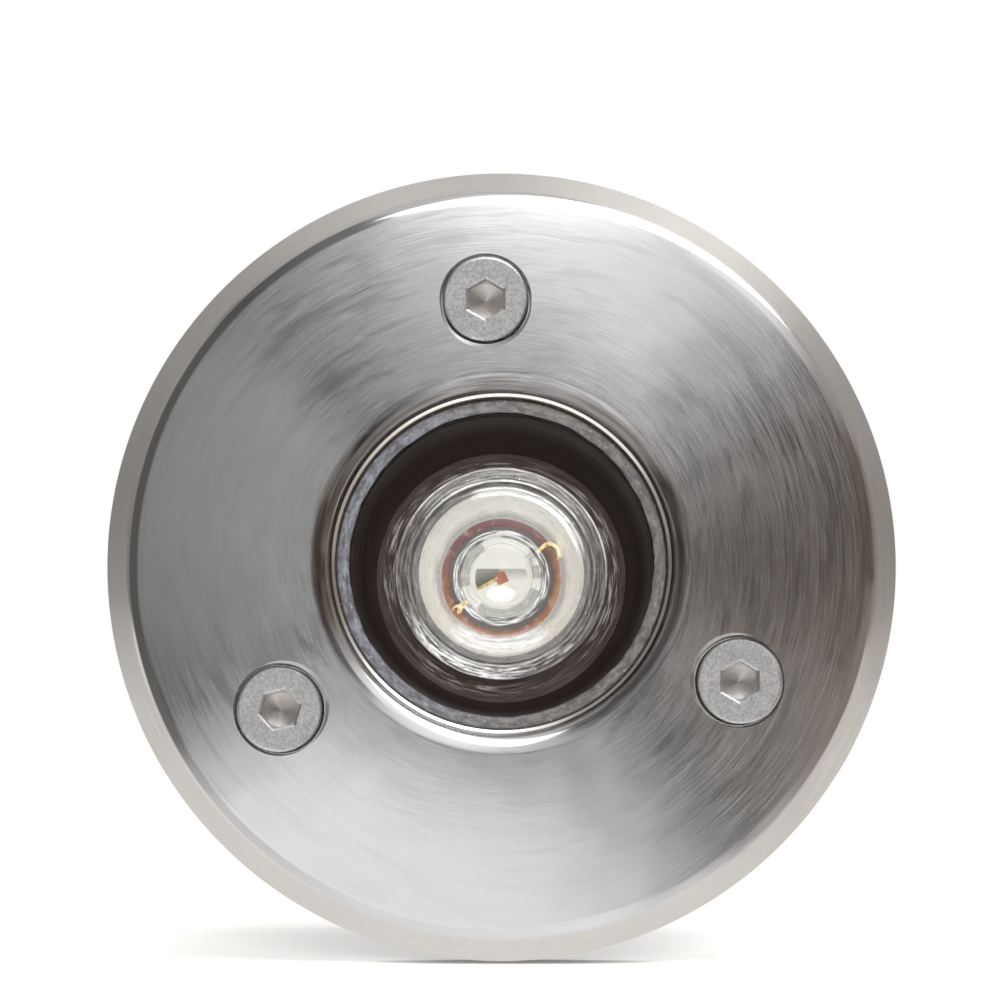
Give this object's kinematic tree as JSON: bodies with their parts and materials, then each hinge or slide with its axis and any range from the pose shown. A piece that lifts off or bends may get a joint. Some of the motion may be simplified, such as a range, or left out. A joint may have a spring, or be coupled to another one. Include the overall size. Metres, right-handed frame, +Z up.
{
  "type": "recessed spotlight",
  "caption": "Round recessed spotlight: a domed stainless face ring on screws, a deep set lamp behind flat glass, and a barrel that lifts out of its wall sleeve.",
  "frame": {"origin": "on the light axis, at the rim of the sleeve, in the plane of the wall's surface", "axes": "+Y along the light axis into the wall, +X to the right seen from the front, +Z up"},
  "size_m": [0.09, 0.1078, 0.09],
  "materials": {
    "steel_brushed": "brushed, with a polished rim radius",
    "steel_screws": "satin",
    "steel_barrel": "turned",
    "front_glass": "polished",
    "lens_clear": "polished",
    "silicone_grey": "matt, slightly uneven",
    "rubber_black": "matt",
    "black_anodised": "black anodised",
    "black_plastic": "moulded",
    "cream_plastic": "satin",
    "board_white": "solder mask",
    "copper": "bare copper",
    "gold": "gold plated",
    "emitter_metal": "plated",
    "chip_orange": "satin",
    "thermal_pad": "matt",
    "aluminium": "turned",
    "solder": "solder",
    "lead_red": "silicone sheath",
    "lead_black": "silicone sheath",
    "brass": "turned",
    "board_green": "solder mask",
    "ferrite": "ferrite with copper winding",
    "capacitor_can": "can",
    "component_black": "moulded",
    "terminal_green": "moulded",
    "nickel": "nickel plated brass",
    "nylon": "moulded",
    "sleeve_plastic": "moulded, fine grain"
  },
  "bodies": {
    "sleeve": {"sleeve": "sleeve_plastic", "sleeve_end": "sleeve_plastic", "threaded_inserts": "brass"},
    "light": {"face_ring": "steel_brushed", "lamp_barrel": "steel_barrel", "rear_cap": "steel_barrel", "front_glass": "front_glass", "lamp_lens": "lens_clear", "led_lens": "lens_clear", "glass_bead": "silicone_grey", "glass_gasket": "rubber_black", "flange_gasket": "rubber_black", "barrel_oring": "rubber_black", "rear_cap_oring": "rubber_black", "gland_washer": "rubber_black", "gland_seal": "rubber_black", "baffle_tube": "black_anodised", "lens_holder": "black_plastic", "reflector_cup": "cream_plastic", "led_board": "board_white", "contact_ring": "copper", "gold_leads": "gold", "bond_wire": "gold", "emitter_base": "emitter_metal", "led_chip": "chip_orange", "thermal_pad": "thermal_pad", "heat_sink": "aluminium", "clamp_ring": "aluminium", "solder_joints": "solder", "lead_red": "lead_red", "lead_black": "lead_black", "driver_standoffs": "brass", "driver_screws": "steel_screws", "driver_board": "board_green", "driver_inductor": "ferrite", "driver_capacitors": "capacitor_can", "driver_rectifier": "component_black", "driver_chip": "component_black", "terminal_block": "terminal_green", "gland_body": "nickel", "gland_nut": "nickel", "screw_washers": "nylon", "screw_retainers": "nylon"},
    "screw_top": {"screw_top": "steel_screws"},
    "screw_left": {"screw_left": "steel_screws"},
    "screw_right": {"screw_right": "steel_screws"}
  },
  "joints": [
    {"name": "light_lift", "type": "slide", "parent": "sleeve", "child": "light", "axis": [0, -1, 0], "range_m": [0, 0.11]},
    {"name": "screw_top_turn", "type": "hinge", "parent": "light", "child": "screw_top", "pos_m": [-0.00183, 0, 0.02994], "axis": [0, -1, 0], "continuous": true},
    {"name": "screw_left_turn", "type": "hinge", "parent": "light", "child": "screw_left", "pos_m": [-0.02502, 0, -0.01656], "axis": [0, -1, 0], "continuous": true},
    {"name": "screw_right_turn", "type": "hinge", "parent": "light", "child": "screw_right", "pos_m": [0.02685, 0, -0.01339], "axis": [0, -1, 0], "continuous": true}
  ]
}
